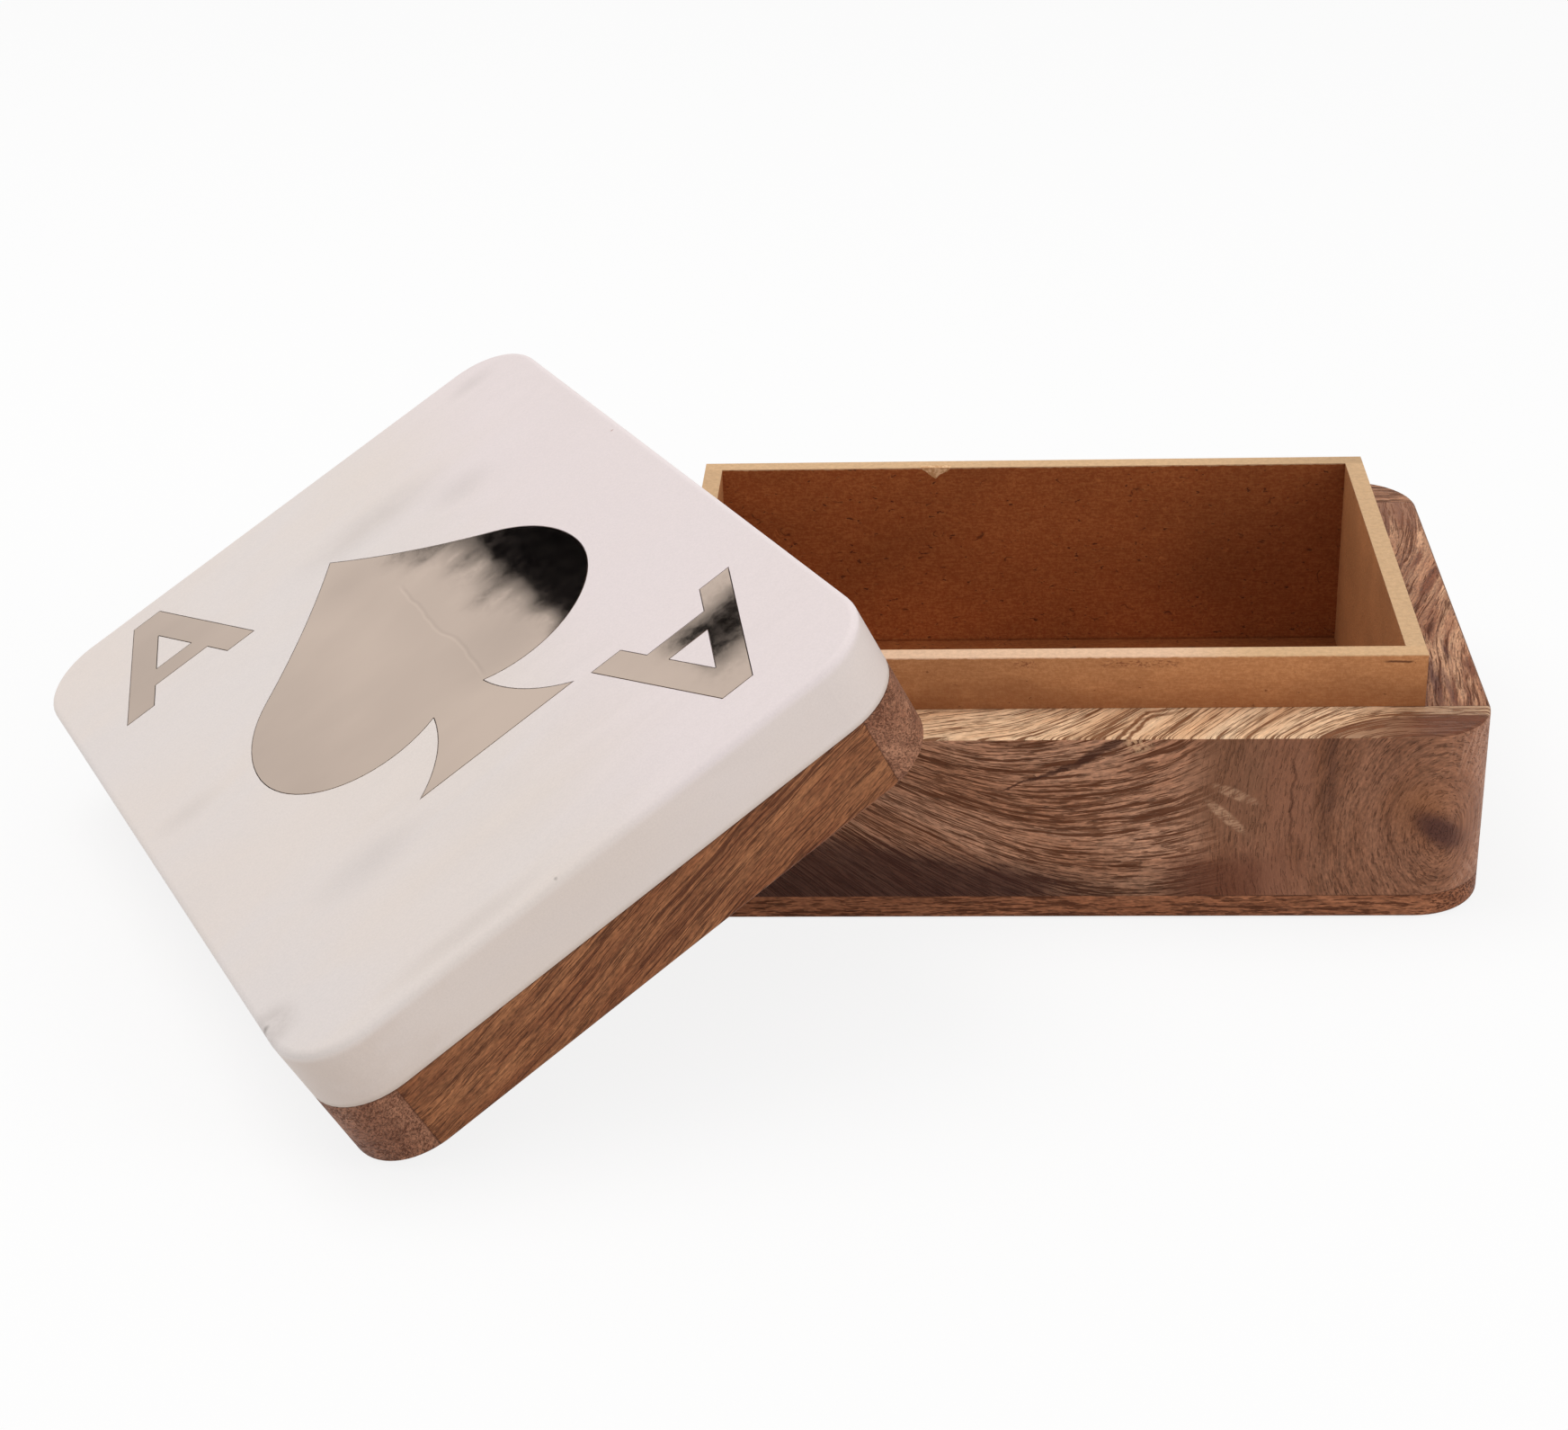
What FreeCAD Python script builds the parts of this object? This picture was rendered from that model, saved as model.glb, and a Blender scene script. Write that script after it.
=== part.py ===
import FreeCAD, Part
import math
import os
import Sketcher

# Playing card box: a wooden frame with a standing liner, and a lift-off lid whose marble
# slab carries a metal spade and two rank letters. Millimetres, +Z up, origin at the centre
# of the box's underside, X along the box's length. The lid stands taken off and leans on
# the corner of the liner.

sizes = {
    # box
    "box_length": 165.0,
    "box_depth": 121.4,
    "rim_height": 38.3,
    "base_thickness": 4.8,
    "wall_thickness": 12.2,
    "corner_radius": 13.6,
    "wood_edge_radius": 0.8,
    # liner
    "liner_thickness": 3.7,
    "liner_floor_thickness": 3.0,
    "liner_proud": 10.7,
    # lid
    "lid_frame_height": 15.2,
    "lid_fit_clearance": 0.6,
    "lid_panel_thickness": 3.0,
    "marble_thickness": 13.7,
    "marble_edge_radius": 1.3,
    # inlays, measured on the slab's top face
    "inlay_thickness": 1.6,
    "inlay_seam": 0.2,
    "inlay_shift_across": 0.6,
    "inlay_shift_along": 2.6,
    "spade_foot_drop": 41.8,
    "spade_height": 88.5,
    "spade_width": 73.6,
    "spade_waist_height": 38.0,
    "spade_shoulder_radius": 28.0,
    "spade_hollow_radius": 190.0,
    "spade_lobe_radius": 21.7,
    "spade_stem_width": 11.4,
    "spade_stem_radius": 30.0,
    "spade_foot_width": 34.2,
    "letter_across": 35.5,
    "letter_along": 42.9,
    "letter_width": 31.0,
    "letter_height": 31.0,
    "letter_apex_width": 6.6,
    "letter_stroke": 6.7,
    "letter_bar_low": 6.4,
    "letter_bar_high": 11.8,
    # how the lid leans
    "lean_yaw": 29.9,
    "lean_reach": 13.35,
    "lean_slide": 17.9,
    "lean_clearance": 0.25,
}


tolerance = 0.001
anticlockwise, clockwise = 1, -1

# Lengths that follow from the driving sizes
rail_thickness = "(Dims.wall_thickness - Dims.lid_fit_clearance)"
liner_length = "(Dims.box_length - 2 * Dims.wall_thickness)"
liner_depth = "(Dims.box_depth - 2 * Dims.wall_thickness)"
liner_foot = "(Dims.base_thickness + Dims.liner_floor_thickness)"
liner_top = "(Dims.rim_height + Dims.liner_proud)"
panel_foot = "(Dims.lid_frame_height - Dims.lid_panel_thickness)"
slab_top = "(Dims.lid_frame_height + Dims.marble_thickness)"


def make_sheet(doc):
    sheet = doc.addObject("Spreadsheet::Sheet", "Dims")
    for row, (alias, value) in enumerate(sizes.items(), start=1):
        sheet.set(f"A{row}", alias)
        sheet.set(f"B{row}", str(value))
        sheet.setAlias(f"B{row}", alias)
    doc.recompute()


def value_of(doc, formula):
    return float(doc.Dims.evalExpression(formula))


# Sketches

def new_sketch(doc, body, name, across="0", along="0", height="0", turned=False):
    """A sketch parallel to the XY plane, in a body or, where body is None, by itself."""
    if body is None:
        sketch = doc.addObject("Sketcher::SketchObject", name)
        place = "Placement"
    else:
        sketch = body.newObject("Sketcher::SketchObject", name)
        plane = next(p for p in body.Origin.OriginFeatures if p.Role == "XY_Plane")
        sketch.AttachmentSupport = [(plane, "")]
        sketch.MapMode = "FlatFace"
        place = "AttachmentOffset"
    turn = FreeCAD.Rotation(FreeCAD.Vector(0, 0, 1), 180 if turned else 0)
    setattr(sketch, place, FreeCAD.Placement(FreeCAD.Vector(), turn))
    for axis, formula in zip("xyz", (across, along, height)):
        sketch.setExpression(f"{place}.Base.{axis}", formula)
    return sketch


def constrain(sketch, kind, where, value, formula):
    number = sketch.addConstraint(Sketcher.Constraint(kind, *where, value))
    sketch.setExpression(f"Constraints[{number}]", formula)


def arc_between(start, end, radius, turn):
    """The short arc from start to end."""
    chord = end - start
    rise = math.sqrt(radius ** 2 - (chord.Length / 2) ** 2)
    centre = (start + end) / 2 + FreeCAD.Vector(-chord.y, chord.x, 0).normalize() * rise * turn
    first, last = (start, end) if turn == anticlockwise else (end, start)
    low, high = [math.atan2(p.y - centre.y, p.x - centre.x) for p in (first, last)]
    if high < low:
        high += 2 * math.pi
    circle = Part.Circle(centre, FreeCAD.Vector(0, 0, 1), radius)
    return Part.ArcOfCircle(circle, low, high)


def draw_loop(doc, sketch, loop):
    """Draws a closed loop, each of whose corners is its X and Y formulas and, where an arc
    leads to the next corner, that arc's radius formula and turn."""
    corners = [FreeCAD.Vector(value_of(doc, c[0]), value_of(doc, c[1]), 0) for c in loop]
    starts, ends = [], []
    for here, there, (x, y, *arc) in zip(corners, corners[1:] + corners[:1], loop):
        if arc:
            radius, turn = arc
            curve = arc_between(here, there, value_of(doc, radius), turn)
        else:
            curve, turn = Part.LineSegment(here, there), anticlockwise
        number = sketch.addGeometry(curve, False)
        starts.append((number, 1 if turn == anticlockwise else 2))
        ends.append((number, 2 if turn == anticlockwise else 1))
        if arc:
            constrain(sketch, "Radius", [number], curve.Radius, radius)
    for here, (x, y, *arc), start, end in zip(corners, loop, starts, ends[-1:] + ends[:-1]):
        sketch.addConstraint(Sketcher.Constraint("Coincident", *end, *start))
        constrain(sketch, "DistanceX", [-1, 1, *start], here.x, x)
        constrain(sketch, "DistanceY", [-1, 1, *start], here.y, y)


def rectangle(length, depth):
    x, y = f"{length} / 2", f"{depth} / 2"
    return [(f"-{x}", f"-{y}"), (x, f"-{y}"), (x, y), (f"-{x}", y)]


def spade():
    """The spade above the middle of its foot: stem, lobes, shoulders and hollow sides."""
    side = "Dims.spade_width / 2"
    waist = "Dims.spade_waist_height"
    stem = "Dims.spade_stem_width / 2"
    foot = "Dims.spade_foot_width / 2"
    shoulder = "Dims.spade_shoulder_radius"
    hollow = "Dims.spade_hollow_radius"
    lobe_run = f"({side} - Dims.spade_lobe_radius - {stem})"
    notch = f"({waist} - sqrt(Dims.spade_lobe_radius^2 - {lobe_run}^2))"
    # The hollow side's arc starts at the tip and touches the shoulder's arc. Its centre, the
    # shoulder's centre and the tip make a triangle, whose corner at the shoulder gives the
    # direction from the shoulder's centre to the point where the two arcs touch.
    centre_x = f"({side} - {shoulder})"
    rise = f"(Dims.spade_height - {waist})"
    to_tip = f"sqrt({centre_x}^2 + {rise}^2)"
    both = f"({shoulder} + {hollow})"
    corner = f"acos(({to_tip}^2 + {both}^2 - {hollow}^2) / (2 * {to_tip} * {both}))"
    touch = f"(atan2({rise}; -{centre_x}) - {corner})"
    touch_x = f"({centre_x} + {shoulder} * cos({touch}))"
    touch_y = f"({waist} + {shoulder} * sin({touch}))"
    return [
        (f"-{foot}", "0"),
        (foot, "0", "Dims.spade_stem_radius", clockwise),
        (stem, notch, "Dims.spade_lobe_radius", anticlockwise),
        (side, waist, shoulder, anticlockwise),
        (touch_x, touch_y, hollow, clockwise),
        ("0", "Dims.spade_height", hollow, clockwise),
        (f"-{touch_x}", touch_y, shoulder, anticlockwise),
        (f"-{side}", waist, "Dims.spade_lobe_radius", anticlockwise),
        (f"-{stem}", notch, "Dims.spade_stem_radius", clockwise),
    ]


def letter():
    """The rank letter above the middle of its feet: its outer edge, then its counter.
    The legs' inner edges run parallel to their outer edges."""
    foot = "Dims.letter_width / 2"
    apex = "Dims.letter_apex_width / 2"
    inner_foot = f"({foot} - Dims.letter_stroke)"
    slope = f"(({foot} - {apex}) / Dims.letter_height)"
    under_bar = f"({inner_foot} - {slope} * Dims.letter_bar_low)"
    over_bar = f"({inner_foot} - {slope} * Dims.letter_bar_high)"
    edge = [
        (f"-{foot}", "0"),
        (f"-{inner_foot}", "0"),
        (f"-{under_bar}", "Dims.letter_bar_low"),
        (under_bar, "Dims.letter_bar_low"),
        (inner_foot, "0"),
        (foot, "0"),
        (apex, "Dims.letter_height"),
        (f"-{apex}", "Dims.letter_height"),
    ]
    counter = [
        (f"-{over_bar}", "Dims.letter_bar_high"),
        (over_bar, "Dims.letter_bar_high"),
        ("0", f"{inner_foot} / {slope}"),
    ]
    return [edge, counter]


# Boards

def block(doc, name, length, depth, low, high, across="0", along="0"):
    """A plain board centred on across and along, between the heights low and high."""
    body = doc.addObject("PartDesign::Body", name)
    sketch = new_sketch(doc, body, name + "_outline", across, along, low)
    draw_loop(doc, sketch, rectangle(length, depth))
    pad = body.newObject("PartDesign::Pad", name + "_pad")
    pad.Profile = sketch
    pad.setExpression("Length", f"{high} - {low}")
    doc.recompute()
    return body


def round_edges(doc, body, name, radius, is_rounded):
    base = body.Tip
    edges = [f"Edge{i}" for i, e in enumerate(base.Shape.Edges, start=1) if is_rounded(e)]
    fillet = body.newObject("PartDesign::Fillet", name)
    fillet.Base = (base, edges)
    fillet.setExpression("Radius", radius)
    doc.recompute()


def rounded_block(doc, name, length, depth, low, high, edge_height, edge_radius):
    """A board with round corners, softened along its outline at one height."""
    body = block(doc, name, length, depth, low, high)
    level = value_of(doc, edge_height)

    def is_upright(edge):
        return edge.BoundBox.ZLength > tolerance

    def is_level(edge):
        box = edge.BoundBox
        return abs(box.ZMin - level) < tolerance and abs(box.ZMax - level) < tolerance

    round_edges(doc, body, name + "_corners", "Dims.corner_radius", is_upright)
    round_edges(doc, body, name + "_soft_edge", edge_radius, is_level)
    return body


def board_pair(doc, names, length, depth, low, high, across="0", along="0", blank=None):
    """Two like boards on opposite sides, cut to the blank's round outline if there is one."""
    boards = []
    for name, side in zip(names, ("-", "")):
        stock_name = name + "_stock" if blank else name
        x, y = f"{side}{across}", f"{side}{along}"
        board = block(doc, stock_name, length, depth, low, high, x, y)
        if blank:
            stock = board
            board = doc.addObject("Part::Common", name)
            board.Base = stock
            board.Tool = blank
        boards.append(board)
    return boards


# Box

def make_base_board(doc):
    return rounded_block(
        doc, "base_board", "Dims.box_length", "Dims.box_depth",
        "0", "Dims.base_thickness", "0", "Dims.wood_edge_radius",
    )


def make_box_walls(doc):
    """The front and back walls run full length, and the side walls butt between them."""
    span = ("Dims.base_thickness", "Dims.rim_height")
    blank = rounded_block(
        doc, "box_frame_blank", "Dims.box_length", "Dims.box_depth",
        *span, "Dims.rim_height", "Dims.wood_edge_radius",
    )
    long_walls = board_pair(
        doc, ["box_front_wall", "box_back_wall"], "Dims.box_length", "Dims.wall_thickness", *span,
        along="(Dims.box_depth - Dims.wall_thickness) / 2", blank=blank,
    )
    side_walls = board_pair(
        doc, ["box_left_wall", "box_right_wall"], "Dims.wall_thickness", liner_depth, *span,
        across="(Dims.box_length - Dims.wall_thickness) / 2", blank=blank,
    )
    return long_walls + side_walls


def make_liner(doc):
    """A floor panel with four strips standing on it, proud of the rim to locate the lid."""
    floor = block(
        doc, "liner_floor", liner_length, liner_depth, "Dims.base_thickness", liner_foot
    )
    span = (liner_foot, liner_top)
    long_strips = board_pair(
        doc, ["liner_front", "liner_back"], liner_length, "Dims.liner_thickness", *span,
        along=f"({liner_depth} - Dims.liner_thickness) / 2",
    )
    side_strips = board_pair(
        doc, ["liner_left", "liner_right"],
        "Dims.liner_thickness", f"({liner_depth} - 2 * Dims.liner_thickness)", *span,
        across=f"({liner_length} - Dims.liner_thickness) / 2",
    )
    return [floor] + long_strips + side_strips


# Lid, drawn lying flat with its underside at height 0, X across it and Y along it

def make_lid_frame(doc):
    """The long rails run full length, and the short rails butt between them. The panel
    inside their top keeps the slab clear of the liner."""
    span = ("0", "Dims.lid_frame_height")
    between = f"(Dims.box_depth - 2 * {rail_thickness})"
    blank = rounded_block(
        doc, "lid_frame_blank", "Dims.box_depth", "Dims.box_length", *span, "0", "Dims.wood_edge_radius"
    )
    long_rails = board_pair(
        doc, ["lid_left_rail", "lid_right_rail"], rail_thickness, "Dims.box_length", *span,
        across=f"(Dims.box_depth - {rail_thickness}) / 2", blank=blank,
    )
    short_rails = board_pair(
        doc, ["lid_foot_rail", "lid_head_rail"], between, rail_thickness, *span,
        along=f"(Dims.box_length - {rail_thickness}) / 2", blank=blank,
    )
    panel = block(
        doc, "lid_panel", between, f"(Dims.box_length - 2 * {rail_thickness})",
        panel_foot, "Dims.lid_frame_height",
    )
    return long_rails + short_rails + [panel]


def inlay_designs():
    """Each inlay's name, loops, place across and along the slab, and whether it is turned."""
    head = ("Dims.inlay_shift_across - Dims.letter_across", "Dims.inlay_shift_along + Dims.letter_along")
    foot = ("Dims.inlay_shift_across + Dims.letter_across", "Dims.inlay_shift_along - Dims.letter_along")
    middle = ("Dims.inlay_shift_across", "Dims.inlay_shift_along - Dims.spade_foot_drop")
    return [
        ("spade_inlay", [spade()], *middle, False),
        ("letter_inlay_head", letter(), *head, False),
        ("letter_inlay_foot", letter(), *foot, True),
    ]


def draw_inlay(doc, body, name, loops, across, along, height, turned):
    sketch = new_sketch(doc, body, name, across, along, height, turned)
    for loop in loops:
        draw_loop(doc, sketch, loop)
    return sketch


def make_marble_slab(doc):
    slab = rounded_block(
        doc, "marble_slab", "Dims.box_depth", "Dims.box_length",
        "Dims.lid_frame_height", slab_top, slab_top, "Dims.marble_edge_radius",
    )
    for name, loops, across, along, turned in inlay_designs():
        before = slab.Shape.Volume
        pocket = slab.newObject("PartDesign::Pocket", name + "_pocket")
        pocket.Profile = draw_inlay(
            doc, slab, name + "_pocket_outline", loops, across, along, slab_top, turned
        )
        pocket.setExpression("Length", "Dims.inlay_thickness")
        doc.recompute()
        if slab.Shape.Volume >= before:
            raise RuntimeError(f"{name}_pocket removes nothing")
    return slab


def make_inlay(doc, name, loops, across, along, turned):
    """A metal plate in its pocket, smaller than the pocket by the seam all round."""
    sketch = draw_inlay(
        doc, None, name + "_outline", loops, across, along,
        f"{slab_top} - Dims.inlay_thickness", turned,
    )
    doc.recompute()
    face = doc.addObject("Part::Face", name + "_face")
    face.Sources = [sketch]
    face.FaceMakerClass = "Part::FaceMakerBullseye"
    doc.recompute()
    inset = doc.addObject("Part::Offset2D", name + "_inset")
    inset.Source = face
    inset.Join = "Arc"
    inset.setExpression("Value", "-Dims.inlay_seam")
    doc.recompute()
    plate = doc.addObject("Part::Extrusion", name)
    plate.Base = inset
    plate.DirMode = "Custom"
    plate.Dir = FreeCAD.Vector(0, 0, 1)
    plate.Solid = True
    plate.setExpression("LengthFwd", "Dims.inlay_thickness")
    return plate


def lean_placement(doc):
    """Where the lid stands. Its left lower edge lies on the ground, and its right rail's
    inner lower edge passes over the liner's front left corner, just above its top."""
    edge_radius = value_of(doc, "Dims.wood_edge_radius")
    rest_height = value_of(doc, f"{liner_top} + Dims.lean_clearance")
    run = value_of(doc, f"Dims.box_depth - {rail_thickness}")
    # The soft lower edge touches the ground at its lowest point.
    tilt = math.asin((rest_height - edge_radius) / math.hypot(run - edge_radius, edge_radius))
    tilt += math.atan2(edge_radius, run - edge_radius)
    yaw = value_of(doc, "Dims.lean_yaw")
    turn = FreeCAD.Rotation(yaw, -math.degrees(tilt), 0)
    level_turn = FreeCAD.Rotation(yaw, 0, 0)
    reach = FreeCAD.Vector(value_of(doc, "Dims.lean_reach"), value_of(doc, "Dims.lean_slide"), 0)
    corner = FreeCAD.Vector(
        value_of(doc, f"-{liner_length} / 2"), value_of(doc, f"-{liner_depth} / 2"), rest_height
    )
    inner_edge = FreeCAD.Vector(value_of(doc, f"Dims.box_depth / 2 - {rail_thickness}"), 0, 0)
    middle = corner + level_turn.multVec(reach) - turn.multVec(inner_edge)
    return FreeCAD.Placement(middle, turn)


def check(doc, parts):
    for item in doc.Objects:
        if {"Invalid", "Error"} & set(item.State):
            raise RuntimeError(f"{item.Name} failed: {item.State}")
    for part in parts:
        if part.Shape.isNull() or not part.Shape.isValid():
            raise RuntimeError(f"{part.Label} has no valid shape")


def main():
    doc = FreeCAD.newDocument("card_box")
    make_sheet(doc)
    box_parts = [make_base_board(doc)] + make_box_walls(doc) + make_liner(doc)
    lid_parts = make_lid_frame(doc) + [make_marble_slab(doc)]
    lid_parts += [make_inlay(doc, *design) for design in inlay_designs()]
    doc.recompute()
    lean = lean_placement(doc)
    for part in lid_parts:
        part.Placement = lean
    doc.recompute()
    check(doc, box_parts + lid_parts)
    os.makedirs("parts", exist_ok=True)
    for part in box_parts + lid_parts:
        part.Shape.exportStep(f"parts/{part.Label}.step")


main()
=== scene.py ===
import math

import bpy
import numpy as np
from mathutils import Matrix, Vector

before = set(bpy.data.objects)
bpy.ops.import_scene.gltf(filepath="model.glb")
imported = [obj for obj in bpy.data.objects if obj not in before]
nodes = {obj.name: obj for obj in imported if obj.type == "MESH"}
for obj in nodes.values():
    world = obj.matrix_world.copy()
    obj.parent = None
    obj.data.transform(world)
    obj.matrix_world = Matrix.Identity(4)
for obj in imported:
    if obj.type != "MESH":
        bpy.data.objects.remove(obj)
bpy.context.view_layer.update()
scene = bpy.context.scene

# Lengths in the materials are millimetres. Each wood reads its own board: along the grain,
# across the growth rings, and the third way through the thickness.
metre = 1000
boxSize = {
    "frontFace": -60.7, "rimTop": 38.3, "baseTop": 4.8, "linerTop": 49, "linerFront": -48.5,
    "compartment": 44,  # from the middle to just short of the long liner boards
}
# The lid is drawn lying flat, tilted about Y, turned about Z, and moved to where it leans
lidLean = {"yaw": 29.9, "tilt": 26.8108, "place": (-0.105639, -0.0481724, 0.0271036)}
lidSize = {"halfWidth": 60.7, "frame": 15.2, "rail": 11.6, "top": 28.9}


# Node helpers. Nodes go into the current tree, which newMaterial, newGroup and makeWorld set.

current = {"tree": None}


def addNode(kind, **settings):
    made = current["tree"].nodes.new(kind)
    for name, value in settings.items():
        setattr(made, name, value)
    return made


# A socket takes another node's output or a plain value, and keeps its own where there is neither.
def feed(socket, value):
    if isinstance(value, bpy.types.NodeSocket):
        current["tree"].links.new(value, socket)
    elif isinstance(value, tuple) and len(value) == 3 and socket.type == "RGBA":
        socket.default_value = (*value, 1)
    elif value is not None:
        socket.default_value = value


def feedAll(sockets, values):
    for socket, value in zip(sockets, values):
        feed(socket, value)


def feedNamed(made, values):
    for name, value in values.items():
        feed(made.inputs[name], value)


def calc(operation, *values):
    made = addNode("ShaderNodeMath", operation=operation)
    feedAll(made.inputs, values)
    return made.outputs[0]


def plus(a, b):
    return calc("ADD", a, b)


def minus(a, b):
    return calc("SUBTRACT", a, b)


def times(first, *others):
    for value in others:
        first = calc("MULTIPLY", first, value)
    return first


# a times b plus c
def timesPlus(a, b, c):
    return calc("MULTIPLY_ADD", a, b, c)


def greater(a, b):
    return calc("MAXIMUM", a, b)


# The unsigned distance between two values.
def gap(a, b):
    return calc("ABSOLUTE", minus(a, b))


def join(*values):
    made = addNode("ShaderNodeCombineXYZ")
    feedAll(made.inputs, values)
    return made.outputs[0]


def split(vector):
    made = addNode("ShaderNodeSeparateXYZ")
    feed(made.inputs[0], vector)
    return made.outputs[:3]


def vectorCalc(operation, *values):
    made = addNode("ShaderNodeVectorMath", operation=operation)
    feedAll(made.inputs, values)
    return made.outputs


# The vector times the factors plus the shift, one by one.
def stretch(vector, factors, shift=(0, 0, 0)):
    return vectorCalc("MULTIPLY_ADD", vector, factors, shift)[0]


# The vector scaled, turned and then shifted.
def turnPlace(vector, rotation, scale, shift=(0, 0, 0)):
    made = addNode("ShaderNodeMapping", vector_type="POINT")
    feedAll(made.inputs, (vector, shift, rotation, scale))
    return made.outputs[0]


# Noise of the place times the scale plus the shift. The scale is one number or three.
def noise(place, scale=1, detail=2, roughness=0.5, shift=(0, 0, 0), distortion=0):
    factors = scale if isinstance(scale, tuple) else (scale,) * 3
    made = addNode("ShaderNodeTexNoise", noise_dimensions="3D")
    given = {"Scale": 1, "Detail": detail, "Roughness": roughness, "Distortion": distortion}
    feedNamed(made, {"Vector": stretch(place, factors, shift), **given})
    return made.outputs[0]


# From low to high as the value goes from start to end, eased at both ends.
def rise(value, start, end, low=0, high=1):
    made = addNode("ShaderNodeMapRange", interpolation_type="SMOOTHSTEP")
    feedAll(made.inputs, (value, start, end, low, high))
    return made.outputs[0]


def fall(value, start, end, high=1, low=0):
    return rise(value, start, end, high, low)


# 1 from the second place to the third, falling to 0 at the first and the fourth.
def between(value, first, second, third, fourth):
    return times(rise(value, first, second), fall(value, third, fourth))


# 1 closer to a line than the first distance, falling to 0 at the second.
def near(value, line, full, end):
    return fall(gap(value, line), full, end)


def mixColour(share, a, b):
    made = addNode("ShaderNodeMix", data_type="RGBA", clamp_factor=True)
    feedAll((made.inputs["Factor"], made.inputs[6], made.inputs[7]), (share, a, b))
    return made.outputs[2]


def mixValue(share, a, b):
    made = addNode("ShaderNodeMix", data_type="FLOAT", clamp_factor=True)
    feedAll((made.inputs["Factor"], made.inputs[2], made.inputs[3]), (share, a, b))
    return made.outputs[0]


# A coat is a share and a colour. It goes over the first colour where all the masks are 1.
def paint(colour, coat, *masks):
    share, fresh = coat
    return mixColour(times(*masks, share), colour, fresh)


# The colour times a brightness that changes over the surface.
def tint(colour, amount):
    return vectorCalc("SCALE", colour, None, None, amount)[0]


def findNode(kind):
    return next(n for n in current["tree"].nodes if n.type == kind)


def newMaterial(name):
    made = bpy.data.materials.new(name)
    made.use_nodes = True
    current["tree"] = made.node_tree
    return made, findNode("BSDF_PRINCIPLED")


# The material shows the first shader, or the second where the share is 1.
def mixShaders(share, first, second):
    made = addNode("ShaderNodeMixShader")
    feedAll(made.inputs, (share, first.outputs[0], second.outputs[0]))
    feed(findNode("OUTPUT_MATERIAL").inputs["Surface"], made.outputs[0])


# A shader group. An input's default is a number, a colour, or None for a vector; the outputs are
# numbers, apart from one called Colour.
def newGroup(name, inputs, outputs):
    group = bpy.data.node_groups.new(name, "ShaderNodeTree")
    for label, default in inputs.items():
        kind = "Vector" if default is None else "Color" if isinstance(default, tuple) else "Float"
        socket = group.interface.new_socket(label, in_out="INPUT", socket_type="NodeSocket" + kind)
        if default is not None:
            socket.default_value = (*default, 1) if kind == "Color" else default
    for label in outputs:
        kind = "Color" if label == "Colour" else "Float"
        group.interface.new_socket(label, in_out="OUTPUT", socket_type="NodeSocket" + kind)
    current["tree"] = group
    return group, addNode("NodeGroupInput").outputs, addNode("NodeGroupOutput").inputs


# Places a group. Keywords are its inputs' names without spaces.
def useGroup(group, **values):
    made = addNode("ShaderNodeGroup", node_tree=group)
    for socket in made.inputs:
        feed(socket, values.get(socket.name.replace(" ", "")))
    return made.outputs


# Object coordinates in millimetres.
def placeInBox():
    where = addNode("ShaderNodeTexCoord").outputs["Object"]
    return stretch(where, (metre,) * 3)


# The lid's own coordinates in millimetres, with its lean taken off.
def placeInLid():
    made = addNode("ShaderNodeMapping", vector_type="TEXTURE")
    turn = (0, -math.radians(lidLean["tilt"]), math.radians(lidLean["yaw"]))
    where = addNode("ShaderNodeTexCoord").outputs["Object"]
    feedAll(made.inputs, (where, lidLean["place"], turn))
    return stretch(made.outputs[0], (metre,) * 3)


# Colour, roughness and bump, with the bump's depth in metres.
def finishShader(shader, colour, roughness, height, depth=0.0002, specular=0.5):
    bump = addNode("ShaderNodeBump")
    feedNamed(bump, {"Strength": 1, "Distance": depth, "Height": height})
    looks = {"Base Color": colour, "Roughness": roughness, "Specular IOR Level": specular}
    feedNamed(shader, {**looks, "Normal": bump.outputs[0]})


def dress(nodeName, material):
    piece = nodes[nodeName]
    if not piece.material_slots:
        piece.data.materials.append(material)
    for place in piece.material_slots:
        place.material = material


# Shared effects

# 1 at a centre, falling to 0 as the scaled distance from it reaches 1, smoothly.
def makeSpot():
    group, given, out = newGroup("softSpot", {"Place": None, "Centre": None, "Reach": None}, ["Mask"])
    away = vectorCalc("SUBTRACT", given["Place"], given["Centre"])[0]
    scaled = vectorCalc("DIVIDE", away, given["Reach"])[0]
    length = vectorCalc("LENGTH", scaled)["Value"]
    feed(out["Mask"], fall(length, 0, 1))
    return group


# The wood's noises: how fine they are along the grain, across it and through the board
grainNoise = {
    "slowBend": (0.03, 0.08, 0.08), "quickBend": (0.11, 0.3, 0.3), "bandWander": (0.012, 0.05, 0.05),
    "bandPatch": (0.03, 0.2, 0.2), "cloud": (0.025, 0.1, 0.1), "streak": (0.045, 0.42, 0.42),
    "fibre": (0.17, 1.9, 1.9), "grit": (0.9, 2.8, 2.8), "crowd": (0.035, 0.22, 0.22),
    # lines and dashes: how thin, shift along and detail
    "marks": {"Line": (1.95, 0, 2.5), "Dash": (2.5, 5.3, 1)},
    # how far one seed is from the next, through the board
    "seedStep": 37.7,
}


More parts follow.
